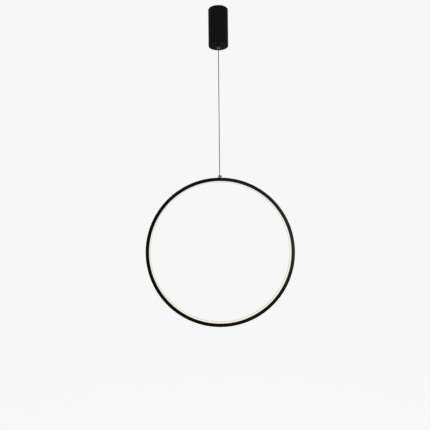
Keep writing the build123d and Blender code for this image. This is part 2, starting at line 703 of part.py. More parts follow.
def make_swivel_barrel():
    """Turned steel barrel: roof with the cable's hole, ferrule chamber, thread for the stud."""
    barrel = upright(BARREL_DIAMETER / 2, BARREL_BOTTOM, BARREL_TOP)
    top_rim = barrel.edges().filter_by(GeomType.CIRCLE).sort_by(Axis.Z)[-1]
    barrel = chamfer(top_rim, BARREL_EDGE_BREAK)
    barrel -= upright(CABLE_RADIUS + CABLE_PASS_CLEARANCE, CHAMBER_TOP, BARREL_TOP)
    barrel -= upright(BARREL_CHAMBER_DIAMETER / 2, BARREL_BOTTOM, CHAMBER_TOP)
    barrel -= upright(STUD_DIAMETER / 2, BARREL_BOTTOM, STUD_TOP + SEAT_GAP)
    barrel -= sideways(LOCK_SCREW_DIAMETER / 2, 0, BARREL_DIAMETER / 2, 0, LOCK_SCREW_LEVEL)
    return barrel


def make_lock_screw():
    """Side screw of the barrel: tightened on the ferrule, it stops the ring from turning."""
    tip = FERRULE_RADIUS + LOCK_SCREW_GAP
    seat = BARREL_DIAMETER / 2
    shank = sideways(LOCK_SCREW_DIAMETER / 2 - SCREW_CLEARANCE, tip, seat, 0, LOCK_SCREW_LEVEL)
    head_end = seat + LOCK_SCREW_HEAD_LENGTH
    return shank + sideways(LOCK_SCREW_HEAD / 2, seat, head_end, 0, LOCK_SCREW_LEVEL)


def make_hanger_washer():
    """Thin washer between the barrel and the ring, its foot hollowed to the ring's curve."""
    low = RING_TOP - HANGER_WASHER_HEIGHT / 2
    washer = upright(BARREL_DIAMETER / 2, low, BARREL_BOTTOM)
    washer -= upright(STUD_DIAMETER / 2 + HOLE_CLEARANCE, low, BARREL_BOTTOM)
    rim = Pos(0, 0, RING_CENTRE) * Rot(90, 0, 0) * Cylinder(RING_RADIUS + SEAT_GAP, RING_DEPTH)
    return washer - rim


def make_hanger_stud():
    """Hollow threaded stud from the barrel through the ring's web into the joiner plate."""
    radius = STUD_DIAMETER / 2 - SCREW_CLEARANCE
    bore = upright(STUD_BORE / 2, STUD_BOTTOM, STUD_TOP)
    return upright(radius, STUD_BOTTOM, STUD_TOP) - bore


# ------------------------------------------------------------------ ring
def radial_cylinder(radius, inner, outer, along):
    """A cylinder along a radius of the ring, placed by its distance along the ring's top."""
    place = Rot(0, 0, arc_degrees(along)) * Pos((inner + outer) / 2, 0, 0) * Rot(0, 90, 0)
    return RING_PLANE * place * Cylinder(radius, outer - inner)


def half_to_full(half):
    """Mirror (radius, depth) points given for positive depth, so that the outline closes."""
    return half + [(radius, -depth) for radius, depth in reversed(half)]


def make_ring_channel():
    """Rolled aluminium profile: web, two flanges, a bed for the strip and a closed chamber."""
    outline = half_to_full(
        [
            (RING_RADIUS, HALF_DEPTH),
            (LIP_RADIUS, HALF_DEPTH),
            (LIP_RADIUS, HALF_INSIDE),
            (BED_RADIUS, HALF_INSIDE),
        ]
    )
    chamber = half_to_full(
        [(CHAMBER_OUTER_RADIUS, HALF_INSIDE), (CHAMBER_INNER_RADIUS, HALF_INSIDE)]
    )
    section = ring_section(outline) - ring_section(chamber)
    channel = open_ring(section)
    stud_hole = STUD_DIAMETER / 2 + HOLE_CLEARANCE
    web_cut = (CHAMBER_OUTER_RADIUS - CUT_MARGIN, RING_RADIUS + CUT_MARGIN)
    bed_cut = (BED_RADIUS - CUT_MARGIN, CHAMBER_INNER_RADIUS + CUT_MARGIN)
    channel -= radial_cylinder(stud_hole, *web_cut, 0)
    channel -= radial_cylinder(LEAD_HOLE_DIAMETER / 2, *bed_cut, 0)
    for offset in JOINER_SCREW_OFFSETS:
        channel -= radial_cylinder(JOINER_ACCESS_DIAMETER / 2, *bed_cut, offset)
    return channel


def make_joiner_plate():
    """Curved aluminium plate in the chamber that carries the seam and the hanging stud."""
    half = JOINER_WIDTH / 2
    outline = half_to_full([(JOINER_OUTER_RADIUS, half), (JOINER_INNER_RADIUS, half)])
    angle = arc_degrees(JOINER_ARC)
    plate = ring_sector(ring_section(outline), -angle / 2, angle)
    low = JOINER_INNER_RADIUS - CUT_MARGIN
    high = JOINER_OUTER_RADIUS + CUT_MARGIN
    plate -= radial_cylinder(STUD_DIAMETER / 2, low, high, 0)
    for offset in JOINER_SCREW_OFFSETS:
        plate -= radial_cylinder(JOINER_SCREW_DIAMETER / 2, low, high, offset)
    return plate


def make_joiner_screws():
    """Grub screws that press the joiner plate and the profile's ends together."""
    length = CHAMBER_OUTER_RADIUS - SEAT_GAP - JOINER_INNER_RADIUS
    screw = grub_screw(JOINER_SCREW_DIAMETER - 2 * SCREW_CLEARANCE, length)
    screws = []
    for offset in JOINER_SCREW_OFFSETS:
        place = Rot(0, 0, arc_degrees(offset)) * Pos(JOINER_INNER_RADIUS, 0, 0) * Rot(0, 90, 0)
        screws.append(RING_PLANE * place * screw)
    return group(screws)


def make_led_strip():
    """Flexible board stuck on the profile's bed, open for a short stretch at the top."""
    half = STRIP_WIDTH / 2
    outline = half_to_full([(STRIP_OUTER_RADIUS, half), (STRIP_INNER_RADIUS, half)])
    start = arc_degrees(STRIP_START)
    return ring_sector(ring_section(outline), start, 360 - 2 * start)


def make_led_chips():
    """Chips at an even pitch along the strip, each a small flat block on its inner face."""
    margin = arc_degrees(STRIP_START + CHIP_END_MARGIN)
    pitch = (360 - 2 * margin) / (CHIP_COUNT - 1)
    middle = STRIP_INNER_RADIUS - SEAT_GAP - CHIP_HEIGHT / 2
    chips = []
    for index in range(CHIP_COUNT):
        place = Rot(0, 0, margin + index * pitch) * Pos(middle, 0, 0)
        chips.append(RING_PLANE * place * Box(CHIP_HEIGHT, CHIP_LENGTH, CHIP_WIDTH))
    return group(chips)


def make_ring_leads():
    """Two thin leads from the stud's bore through the bed to the strip's first pads."""
    top = FERRULE_BOTTOM - RING_LEAD_GAP
    pad_radius = STRIP_INNER_RADIUS - RING_LEAD_DIAMETER / 2 - SEAT_GAP
    level = RING_CENTRE + math.sqrt(pad_radius**2 - RING_LEAD_REACH**2) - SEAT_GAP
    leads = []
    for side in (-1, 1):
        y = side * RING_LEAD_SPACING / 2
        points = [(0, y, top), (0, y, level), (-RING_LEAD_REACH, y, level)]
        leads.append(lead(points, RING_LEAD_DIAMETER / 2, [RING_LEAD_BEND]))
    return group(leads)


def make_diffuser():
    """Opal cover: a face between the lips and two legs that grip the profile's flanges."""
    side = HALF_INSIDE - DIFFUSER_SIDE_PLAY
    leg_inside = side - DIFFUSER_LEG
    outline = half_to_full(
        [
            (DIFFUSER_FACE_RADIUS, side),
            (DIFFUSER_LEG_RADIUS, side),
            (DIFFUSER_LEG_RADIUS, leg_inside),
            (DIFFUSER_BACK_RADIUS, leg_inside),
        ]
    )
    return open_ring(ring_section(outline))


# ------------------------------------------------------------------ assembly
def build_nodes():
    """Make every sub-part, each under its node's name."""
    NODES["ceiling_plate"] = make_ceiling_plate()
    NODES["cable_grommet"] = make_cable_grommet()
    NODES["canopy_shell"] = make_canopy_shell()
    NODES["side_screws"] = make_side_screws()
    NODES["driver_bracket"] = make_driver_bracket()
    NODES["bracket_screws"] = make_bracket_screws()
    NODES["led_driver"] = make_led_driver()
    NODES["driver_screws"] = make_driver_screws()
    NODES["terminal_block"] = make_terminal_block()
    NODES["terminal_screws"] = make_terminal_screws()
    NODES["block_screw"] = make_block_screw()
    NODES["earth_lug"] = make_earth_lug()
    NODES["earth_screw"] = make_earth_screw()
    NODES["earth_lead"] = make_earth_lead()
    NODES["live_lead"] = make_driver_lead(2, LIVE_EXIT_X)
    NODES["neutral_lead"] = make_driver_lead(1, NEUTRAL_EXIT_X)
    NODES["inner_cable"] = make_inner_cable()
    NODES["gripper_body"] = make_gripper_body()
    NODES["gripper_cap"] = make_gripper_cap()
    NODES["gripper_nut"] = make_gripper_nut()
    NODES["gripper_spring"] = make_gripper_spring()
    NODES["release_plunger"] = make_release_plunger()
    NODES["gripper_jaws"] = make_gripper_jaws()
    NODES["suspension_cable"] = make_suspension_cable()
    NODES["cable_ferrule"] = make_cable_ferrule()
    NODES["swivel_barrel"] = make_swivel_barrel()
    NODES["lock_screw"] = make_lock_screw()
    NODES["hanger_washer"] = make_hanger_washer()
    NODES["hanger_stud"] = make_hanger_stud()
    NODES["joiner_plate"] = make_joiner_plate()
    NODES["joiner_screws"] = make_joiner_screws()
    NODES["ring_leads"] = make_ring_leads()
    NODES["ring_channel"] = make_ring_channel()
    NODES["led_strip"] = make_led_strip()
    NODES["led_chips"] = make_led_chips()
    NODES["diffuser"] = make_diffuser()


build_nodes()
os.makedirs("parts", exist_ok=True)
for name, shape in NODES.items():
    export_step(shape, f"parts/{name}.step")
print(len(NODES), "nodes")
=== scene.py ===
"""A slim LED ring pendant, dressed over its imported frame.

The frame gives every rigid piece at its place, in metres, with the origin on the ceiling. This
script gives those pieces their finishes, makes the taut cable and the pieces that need smoother
shapes than the frame has, and sets the studio and the camera.
"""

from __future__ import annotations

import logging
import math
from dataclasses import dataclass, field
from enum import Enum
from functools import cached_property

import bmesh
import bpy
from mathutils import Matrix, Vector


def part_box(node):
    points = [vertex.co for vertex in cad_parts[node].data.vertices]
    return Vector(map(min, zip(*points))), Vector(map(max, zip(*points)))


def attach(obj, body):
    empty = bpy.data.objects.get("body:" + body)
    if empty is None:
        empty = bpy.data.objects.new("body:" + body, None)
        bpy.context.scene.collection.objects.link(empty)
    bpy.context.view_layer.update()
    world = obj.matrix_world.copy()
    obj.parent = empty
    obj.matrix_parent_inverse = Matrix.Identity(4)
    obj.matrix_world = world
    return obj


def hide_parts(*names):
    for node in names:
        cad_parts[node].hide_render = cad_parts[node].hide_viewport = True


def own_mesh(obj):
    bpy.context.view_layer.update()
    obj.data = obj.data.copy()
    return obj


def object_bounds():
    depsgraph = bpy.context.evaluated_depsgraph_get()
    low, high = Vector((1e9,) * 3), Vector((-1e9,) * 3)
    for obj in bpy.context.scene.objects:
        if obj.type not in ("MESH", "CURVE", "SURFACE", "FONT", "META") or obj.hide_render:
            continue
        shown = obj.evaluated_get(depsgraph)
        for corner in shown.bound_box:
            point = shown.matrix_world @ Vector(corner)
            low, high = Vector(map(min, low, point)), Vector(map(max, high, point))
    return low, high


LOG = logging.getLogger("ring_pendant")

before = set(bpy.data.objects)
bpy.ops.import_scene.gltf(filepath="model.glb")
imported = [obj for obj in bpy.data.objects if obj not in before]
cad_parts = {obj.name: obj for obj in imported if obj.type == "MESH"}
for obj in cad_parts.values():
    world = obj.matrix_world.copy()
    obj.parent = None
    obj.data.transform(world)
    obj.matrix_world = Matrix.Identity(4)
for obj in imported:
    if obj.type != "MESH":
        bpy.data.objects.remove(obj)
CAD_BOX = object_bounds()

Triple = tuple[float, float, float]
Colour = Triple
Span = tuple[float, float]
Socket = bpy.types.NodeSocket

MILLIMETRE = 0.001

UNIT: Span = (0.0, 1.0)
WAVE: Span = (-1.0, 1.0)  # of a sine or a cosine
ALIKE: Triple = (1, 1, 1)  # along every axis
QUAD = 4  # corners of a face along a tube's side
MATRIX_SIZE = 4  # rows of a matrix that turns and moves


def rgba(colour: Colour) -> tuple[float, float, float, float]:
    """Return a colour with full opacity."""
    return (*colour, 1.0)


def shade(colour: Colour, factor: float) -> Colour:
    """Return a colour made lighter or darker by a factor, at most white."""
    return tuple(min(1.0, channel * factor) for channel in colour)


# ------------------------------------------------------------------ node graphs
class Axis(Enum):
    """A direction of the frame, by its place in a vector."""

    X = 0
    Y = 1
    Z = 2


class Detail(Enum):
    """How many finer layers a noise has."""

    PLAIN = 1.0
    SOFT = 2.0
    RICH = 3.0


class Graph:
    """The nodes of a material or of the world, from its coordinates to its output."""

    def __init__(
        self,
        owner: bpy.types.Material | bpy.types.World,
        output: str = "ShaderNodeOutputMaterial",
    ) -> None:
        """Empty the owner's node tree, but for its output.

        Args:
            owner: the material or world that the nodes are for.
            output: the type name of its output node.
        """
        owner.use_nodes = True
        self.tree = owner.node_tree
        self.tree.nodes.clear()
        self.output = self.add(output)

    @cached_property
    def coordinates(self) -> Socket:
        """Return the object's own coordinates, from a node added when they are first used."""
        return self.add("ShaderNodeTexCoord").outputs["Object"]

    def add(self, kind: str, settings: dict | None = None, **inputs: object) -> bpy.types.Node:
        """Add a node and fill its inputs.

        Args:
            kind: the node's type name.
            settings: properties of the node, such as its operation.
            inputs: values or sockets by input name, with _ for a space; n0, n1 pick by number.

        Returns:
            The new node.
        """
        node = self.tree.nodes.new(kind)
        for key, value in (settings or {}).items():
            setattr(node, key, value)
        for key, value in inputs.items():
            numbered = key[0] == "n" and key[1:].isdigit()
            socket = node.inputs[int(key[1:]) if numbered else key.replace("_", " ")]
            if isinstance(value, Socket):
                self.tree.links.new(value, socket)
            else:
                socket.default_value = value
        return node

    def math(self, operation: str, first: Socket | float, second: Socket | float = 0.0) -> Socket:
        """Return the result of a math operation on two values."""
        node = self.add("ShaderNodeMath", {"operation": operation}, n0=first, n1=second)
        return node.outputs[0]

    def axis(self, axis: Axis) -> Socket:
        """Return one of the object's coordinates, in metres."""
        return self.add("ShaderNodeSeparateXYZ", n0=self.coordinates).outputs[axis.value]

    def noise(self, grain: float, detail: Detail = Detail.SOFT, stretch: Triple = ALIKE) -> Socket:
        """Return cloudy noise from 0 to 1.

        Args:
            grain: the size of its patches, in metres.
            detail: how many finer layers it has.
            stretch: how often it repeats along each axis, against the others.

        Returns:
            The noise's value.
        """
        place = self.add(
            "ShaderNodeVectorMath", {"operation": "MULTIPLY"}, n0=self.coordinates, n1=stretch
        )
        node = self.add(
            "ShaderNodeTexNoise", Vector=place.outputs[0], Scale=1 / grain, Detail=detail.value
        )
        return node.outputs["Fac"]

    def ranged(self, value: Socket, target: Span, source: Span = UNIT) -> Socket:
        """Move a value from one range to another.

        Args:
            value: the value.
            target: the range that it ends up in.
            source: the range that it comes from; beyond its ends the value stops.

        Returns:
            The moved value.
        """
        (start, end), (low, high) = source, target
        node = self.add("ShaderNodeMapRange", n0=value, n1=start, n2=end, n3=low, n4=high)
        return node.outputs[0]

    def blend(self, factor: Socket, first: Colour, second: Colour) -> Socket:
        """Mix two colours.

        Args:
            factor: 0 for the first colour, 1 for the second.
            first: the first colour.
            second: the second colour.

        Returns:
            The colour between them.
        """
        node = self.add("ShaderNodeValToRGB", Fac=factor)
        for element, colour in zip(node.color_ramp.elements, (first, second)):
            element.color = rgba(colour)
        return node.outputs["Color"]

    def shaded(self, factor: Socket, colour: Colour, shades: Span) -> Socket:
        """Return a colour between its darker and its lighter shade, by a factor from 0 to 1."""
        return self.blend(factor, *(shade(colour, each) for each in shades))

    def bump(self, height: Socket, depth: float, normal: Socket | None = None) -> Socket:
        """Return a normal disturbed by a height.

        Args:
            height: the height, from 0 to 1.
            depth: what a height of 1 stands for, in metres.
            normal: a normal to start from.

        Returns:
            The disturbed normal.
        """
        node = self.add("ShaderNodeBump", Height=height, Distance=depth)
        if normal is not None:
            self.tree.links.new(normal, node.inputs["Normal"])
        return node.outputs["Normal"]

    def principled(self, **inputs: object) -> Socket:
        """Return a principled shader with these inputs."""
        return self.add("ShaderNodeBsdfPrincipled", **inputs).outputs[0]

    def finish(self, surface: Socket) -> None:
        """Join a shader to the output."""
        self.tree.links.new(surface, self.output.inputs["Surface"])


# ------------------------------------------------------------------ finishes
@dataclass(frozen=True)
class Finish:
    """A surface finish: its name, the record's slot that it belongs to, and its main colour."""

    name: str
    slot: str
    colour: Colour

    def surface(self, graph: Graph) -> Socket:
        """Build the finish's nodes in an empty graph and return its shader."""
        raise NotImplementedError

    def material(self) -> bpy.types.Material:
        """Make the material once, to be shared by every piece with this finish.

        Returns:
            The material.
        """
        known = bpy.data.materials.get(self.name)
        if known is not None:
            return known
        material = bpy.data.materials.new(self.name)
        graph = Graph(material)
        graph.finish(self.surface(graph))
        return material

    def dress(self, piece: bpy.types.Object) -> None:
        """Put this finish on a piece.

        Args:
            piece: the piece.
        """
        piece.data.materials.clear()
        piece.data.materials.append(self.material())


@dataclass(frozen=True)
class PowderCoat(Finish):
    """Powder coat on aluminium: fine orange peel and a cloudy gloss."""

    peel: float = 0.9 * MILLIMETRE
    peel_depth: float = 0.04 * MILLIMETRE
    cloud: float = 45 * MILLIMETRE
    cloud_span: Span = (0.3, 0.7)  # of the clouds' noise, for the gloss
    shades: Span = (0.8, 1.3)
    roughness: Span = (0.42, 0.58)
    specular: float = 0.02

    def surface(self, graph: Graph) -> Socket:
        """Build the finish's nodes.

        Args:
            graph: an empty graph.

        Returns:
            The finish's shader.
        """
        clouds = graph.noise(self.cloud, Detail.RICH)
        grain = graph.noise(self.peel, Detail.PLAIN)
        return graph.principled(
            Base_Color=graph.shaded(clouds, self.colour, self.shades),
            Roughness=graph.ranged(clouds, self.roughness, self.cloud_span),
            Specular_IOR_Level=self.specular,
            Normal=graph.bump(grain, self.peel_depth),
        )


@dataclass(frozen=True)
class TurnedMetal(Finish):
    """Bare or plated metal off a lathe: fine rings round the vertical axis."""

    ring: float = 0.12 * MILLIMETRE
    ring_depth: float = 0.01 * MILLIMETRE
    stretch: Triple = (0.02, 0.02, 1)  # drawn out across the vertical axis
    cloud: float = 3 * MILLIMETRE
    shades: Span = (0.85, 1.1)
    roughness: Span = (0.22, 0.4)

    def surface(self, graph: Graph) -> Socket:
        """Build the finish's nodes.

        Args:
            graph: an empty graph.

        Returns:
            The finish's shader.
        """
        rings = graph.noise(self.ring, Detail.PLAIN, self.stretch)
        clouds = graph.noise(self.cloud)
        return graph.principled(
            Base_Color=graph.shaded(clouds, self.colour, self.shades),
            Metallic=1.0,
            Roughness=graph.ranged(rings, self.roughness),
            Normal=graph.bump(rings, self.ring_depth),
        )


@dataclass(frozen=True)
class PlatedSteel(Finish):
    """Zinc or nickel plate on pressed steel: small crystals and a soft sheen."""

    crystal: float = 1.6 * MILLIMETRE
    smear: float = 12 * MILLIMETRE
    smear_depth: float = 0.01 * MILLIMETRE
    shades: Span = (0.88, 1.08)
    roughness: Span = (0.3, 0.45)

    def surface(self, graph: Graph) -> Socket:
        """Build the finish's nodes.

        Args:
            graph: an empty graph.

        Returns:
            The finish's shader.
        """
        cells = graph.add(
            "ShaderNodeTexVoronoi", Vector=graph.coordinates, Scale=1 / self.crystal
        ).outputs["Color"]
        crystals = graph.add("ShaderNodeSeparateColor", n0=cells).outputs[0]
        smear = graph.noise(self.smear, Detail.RICH)
        return graph.principled(
            Base_Color=graph.shaded(crystals, self.colour, self.shades),
            Metallic=1.0,
            Roughness=graph.ranged(smear, self.roughness),
            Normal=graph.bump(smear, self.smear_depth),
        )


@dataclass(frozen=True)
class MouldedPlastic(Finish):
    """Spark-eroded moulded plastic or rubber: fine even grain."""

    grain: float = 0.35 * MILLIMETRE
    grain_depth: float = 0.015 * MILLIMETRE
    cloud: float = 15 * MILLIMETRE
    shades: Span = (0.92, 1.05)
    roughness: Span = (0.45, 0.6)

    def surface(self, graph: Graph) -> Socket:
        """Build the finish's nodes.

        Args:
            graph: an empty graph.

        Returns:
            The finish's shader.
        """
        grain = graph.noise(self.grain, Detail.PLAIN)
        clouds = graph.noise(self.cloud)
        return graph.principled(
            Base_Color=graph.shaded(clouds, self.colour, self.shades),
            Roughness=graph.ranged(grain, self.roughness),
            Normal=graph.bump(grain, self.grain_depth),
        )


@dataclass(frozen=True)
class StripedSheath(Finish):
    """Wire insulation with a second colour in bands, as on an earth wire."""

    stripe: Colour = (0.75, 0.65, 0.05)
    band: float = 6 * MILLIMETRE  # of one band of each colour
    band_edge: Span = (-0.1, 0.1)  # of the bands' wave, where the colour changes
    grain: float = 0.8 * MILLIMETRE
    grain_depth: float = 0.02 * MILLIMETRE
    roughness: float = 0.4

    def surface(self, graph: Graph) -> Socket:
        """Build the finish's nodes.

        Args:
            graph: an empty graph.

        Returns:
            The finish's shader.
        """
        turn = graph.math("MULTIPLY", graph.axis(Axis.Y), math.tau / self.band)
        side = graph.ranged(graph.math("SINE", turn), UNIT, self.band_edge)
        return graph.principled(
            Base_Color=graph.blend(side, self.colour, self.stripe),
            Roughness=self.roughness,
            Normal=graph.bump(graph.noise(self.grain), self.grain_depth),
        )


@dataclass(frozen=True)
class RoundSheath(Finish):
    """Matt sheath of the cable: fine grain, and the twist of its cores showing through."""

    cores: int = 2
    lay_length: float = 24 * MILLIMETRE
    twist_depth: float = 0.06 * MILLIMETRE
    grain: float = 0.25 * MILLIMETRE
    grain_depth: float = 0.01 * MILLIMETRE
    shades: Span = (0.85, 1.15)
    roughness: Span = (0.45, 0.58)
    specular: float = 0.08

    def twist(self, graph: Graph) -> Socket:
        """Make a wave that winds round the Z axis, once for each core in a lay.

        Args:
            graph: the finish's graph.

        Returns:
            The wave, from 0 to 1.
        """
        angle = graph.math("ARCTAN2", graph.axis(Axis.Y), graph.axis(Axis.X))
        around = graph.math("MULTIPLY", angle, float(self.cores))
        turns = math.tau * self.cores / self.lay_length
        along = graph.math("MULTIPLY", graph.axis(Axis.Z), turns)
        wave = graph.math("SINE", graph.math("ADD", around, along))
        return graph.ranged(wave, UNIT, WAVE)

    def surface(self, graph: Graph) -> Socket:
        """Build the finish's nodes.

        Args:
            graph: an empty graph.

        Returns:
            The finish's shader.
        """
        rounded = graph.bump(self.twist(graph), self.twist_depth)
        grain = graph.noise(self.grain, Detail.PLAIN)
        return graph.principled(
            Base_Color=graph.shaded(grain, self.colour, self.shades),
            Roughness=graph.ranged(grain, self.roughness),
            Specular_IOR_Level=self.specular,
            Normal=graph.bump(grain, self.grain_depth, rounded),
        )


@dataclass(frozen=True)
class RingFinish(Finish):
    """A finish that repeats round the upright ring, whose centre lies on the Z axis."""

    centre_height: float = 0.0

    def level(self, graph: Graph) -> Socket:
        """Return the height above the ring's centre, in metres."""
        return graph.math("SUBTRACT", graph.axis(Axis.Z), self.centre_height)

    def wave(self, graph: Graph, count: int) -> Socket:
        """Return a wave from -1 to 1 with a number of crests round the ring, one at its top."""
        angle = graph.math("ARCTAN2", graph.axis(Axis.X), self.level(graph))
        return graph.math("COSINE", graph.math("MULTIPLY", angle, float(count)))


@dataclass(frozen=True)
class OpalGlow(RingFinish):
    """Satin opal diffuser lit from behind: soft spots over the chips, and painted light that turns
    warmer towards its foot.
    """

    # painted light: the lit face's colour at its foot, warmer than at its top, standing in for how
    # the room's light falls on the lower face
    painted_foot_tint: Colour = (0.9, 0.85, 0.66)
    glow: float = 0.95
    spots: int = 72
    spot_light: Span = (0.985, 1.0)  # between two spots, and at one
    radius: float = 0.286  # of the lit face
    body: Colour = (0.03, 0.03, 0.027)
    satin: float = 0.6 * MILLIMETRE
    satin_depth: float = 0.01 * MILLIMETRE
    roughness: Span = (0.45, 0.6)
    specular: float = 0.03

    def surface(self, graph: Graph) -> Socket:
        """Build the finish's nodes.

        Args:
            graph: an empty graph.

        Returns:
            The finish's shader.
        """
        # height up the ring, which sets the painted warmer light towards the foot
        height = graph.ranged(self.level(graph), UNIT, (-self.radius, self.radius))
        spots = graph.ranged(self.wave(graph, self.spots), self.spot_light, WAVE)
        satin = graph.noise(self.satin, Detail.PLAIN)
        return graph.principled(
            Base_Color=rgba(self.body),
            Roughness=graph.ranged(satin, self.roughness),
            Specular_IOR_Level=self.specular,
            Normal=graph.bump(satin, self.satin_depth),
            # the lit face's colour runs from the painted warm tint at its foot to its own colour at
            # its top
            Emission_Color=graph.blend(height, self.painted_foot_tint, self.colour),
            Emission_Strength=graph.math("MULTIPLY", spots, self.glow),
        )


@dataclass(frozen=True)
class PaddedBoard(RingFinish):
    """White flexible board with pairs of tinned pads at an even pitch round the ring."""

    pads: int = 144
    pad_colour: Colour = (0.75, 0.6, 0.35)
    pad_crest: Span = (0.8, 0.82)  # of the pads' wave, where a pad begins
    pad_foot: Span = (3.4 * MILLIMETRE, 3.5 * MILLIMETRE)  # from the board's middle line
    pad_depth: float = 0.03 * MILLIMETRE
    roughness: float = 0.4

    def surface(self, graph: Graph) -> Socket:
        """Build the finish's nodes.

        Args:
            graph: an empty graph.

        Returns:
            The finish's shader.
        """
        across = graph.math("ABSOLUTE", graph.axis(Axis.Y))
        edge = graph.ranged(across, UNIT, self.pad_foot)
        crest = graph.ranged(self.wave(graph, self.pads), UNIT, self.pad_crest)
        pad = graph.math("MULTIPLY", crest, edge)
        return graph.principled(
            Base_Color=graph.blend(pad, self.colour, self.pad_colour),
            Metallic=pad,
            Roughness=self.roughness,
            Normal=graph.bump(pad, self.pad_depth),
        )


@dataclass(frozen=True)
class PhosphorGel(Finish):
    """Yellow gel over each chip, with its own faint light."""

    glow: float = 0.5
    grain: float = 0.3 * MILLIMETRE
    grain_depth: float = 0.02 * MILLIMETRE
    shades: Span = (0.85, 1.05)
    roughness: float = 0.25
    coat: float = 0.4

    def surface(self, graph: Graph) -> Socket:
        """Build the finish's nodes.

        Args:
            graph: an empty graph.

        Returns:
            The finish's shader.
        """
        grain = graph.noise(self.grain)
        tint = graph.shaded(grain, self.colour, self.shades)
        return graph.principled(
            Base_Color=tint,
            Roughness=self.roughness,
            Coat_Weight=self.coat,
            Normal=graph.bump(grain, self.grain_depth),
            Emission_Color=tint,
            Emission_Strength=self.glow,
        )


CANOPY_PAINT = PowderCoat(
    "black_powder_coat", "canopy_paint", (0.005, 0.005, 0.0051), roughness=(0.5, 0.62)
)
RING_PAINT = PowderCoat(
    "black_satin_coat",
    "ring_paint",
    (0.0014, 0.0013, 0.0011),
    roughness=(0.28, 0.34),
    specular=0.038,
)
ZINC = PlatedSteel("zinc_plate", "zinc_steel", (0.62, 0.63, 0.64))
BLACK_SCREW = PlatedSteel(
    "blackened_steel", "black_screw", (0.03, 0.03, 0.03), crystal=0.5 * MILLIMETRE
)
GRIPPER_METAL = TurnedMetal(
    "black_nickel", "gripper_metal", (0.09, 0.09, 0.092), roughness=(0.3, 0.45)
)
STAINLESS = TurnedMetal(
    "brushed_gunmetal", "barrel_steel", (0.14, 0.14, 0.142), roughness=(0.42, 0.55)
)
SPRING_STEEL = TurnedMetal("spring_wire", "barrel_steel", (0.5, 0.5, 0.5))
CABLE_SHEATH = RoundSheath("black_sheath", "cable_sheath", (0.006, 0.006, 0.006))
DRIVER_CASE = MouldedPlastic("white_plastic", "driver_case", (0.8, 0.8, 0.78))
TERMINAL_PLASTIC = MouldedPlastic("cream_plastic", "terminal_plastic", (0.85, 0.83, 0.76))
BRASS = TurnedMetal("turned_brass", "brass", (0.72, 0.55, 0.25))
RUBBER = MouldedPlastic(
    "black_rubber", "grommet_rubber", (0.035, 0.035, 0.035), roughness=(0.6, 0.75)
)
LIVE_SHEATH = MouldedPlastic(
    "brown_insulation", "live_sheath", (0.23, 0.12, 0.06), grain=0.8 * MILLIMETRE
)
NEUTRAL_SHEATH = MouldedPlastic(
    "blue_insulation", "neutral_sheath", (0.05, 0.16, 0.45), grain=0.8 * MILLIMETRE
)
EARTH_SHEATH = StripedSheath("striped_insulation", "earth_sheath", (0.12, 0.4, 0.08))
CORE_SHEATH = MouldedPlastic(
    "pale_insulation", "core_sheath", (0.75, 0.73, 0.7), grain=0.5 * MILLIMETRE
)
MILL_ALUMINIUM = PlatedSteel(
    "mill_aluminium", "joiner_aluminium", (0.7, 0.7, 0.72), crystal=0.6 * MILLIMETRE
)
CHIP_GEL = PhosphorGel("yellow_gel", "chip_phosphor", (0.95, 0.85, 0.45))


def tube(name: str, points: list[Vector], radius: float, sides: int) -> bpy.types.Object:
    """Return a closed round tube along a smooth line.

    Args:
        name: the piece's name.
        points: the tube's centreline.
        radius: its radius.
        sides: how many sides its section has.

    Returns:
        The tube's object.
    """
    vertices: list[Vector] = []
    across = Vector((1.0, 0.0, 0.0))
    for index, point in enumerate(points):
        ahead = points[min(index + 1, len(points) - 1)] - points[max(index - 1, 0)]
        along = ahead.normalized()
        across = (across - along * across.dot(along)).normalized()
        beside = along.cross(across)
        for side in range(sides):
            angle = math.tau * side / sides
            vertices.append(point + radius * (math.cos(angle) * across + math.sin(angle) * beside))
    last = (len(points) - 1) * sides
    faces: list[tuple[int, ...]] = []
    for here in range(0, last, sides):
        for side in range(sides):
            after = (side + 1) % sides
            faces.append((here + side, here + after, here + sides + after, here + sides + side))
    faces.append(tuple(reversed(range(sides))))
    faces.append(tuple(range(last, last + sides)))
    mesh = bpy.data.meshes.new(name)
    mesh.from_pydata(vertices, [], faces)
    for polygon in mesh.polygons:
        polygon.use_smooth = len(polygon.vertices) == QUAD
    piece = bpy.data.objects.new(name, mesh)
    bpy.context.scene.collection.objects.link(piece)
    return piece


